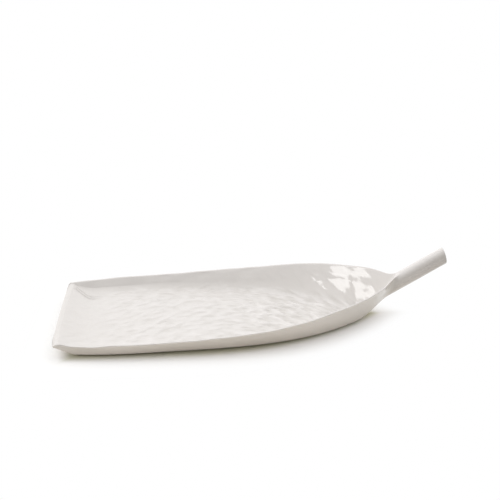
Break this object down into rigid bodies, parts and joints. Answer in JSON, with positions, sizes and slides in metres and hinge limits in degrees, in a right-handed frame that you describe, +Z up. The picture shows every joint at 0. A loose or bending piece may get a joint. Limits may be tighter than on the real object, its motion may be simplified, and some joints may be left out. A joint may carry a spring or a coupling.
{
  "type": "serving plate",
  "caption": "Leaf-shaped glazed porcelain serving plate with a straight-cut end, low flared walls and a round stem as its handle, standing on an unglazed foot ring.",
  "frame": {"origin": "middle of the overall length and width, at the underside of the foot ring", "axes": "+X along the leaf from the straight-cut end to the stem, +Y across the plate, +Z up"},
  "size_m": [0.3774, 0.1776, 0.0668],
  "materials": {
    "glazed_porcelain": "glossy warm white glaze",
    "bisque_porcelain": "matt unglazed fired clay"
  },
  "bodies": {
    "root": {"leaf_dish": "glazed_porcelain", "stem": "glazed_porcelain", "foot_ring": "bisque_porcelain"}
  },
  "joints": []
}
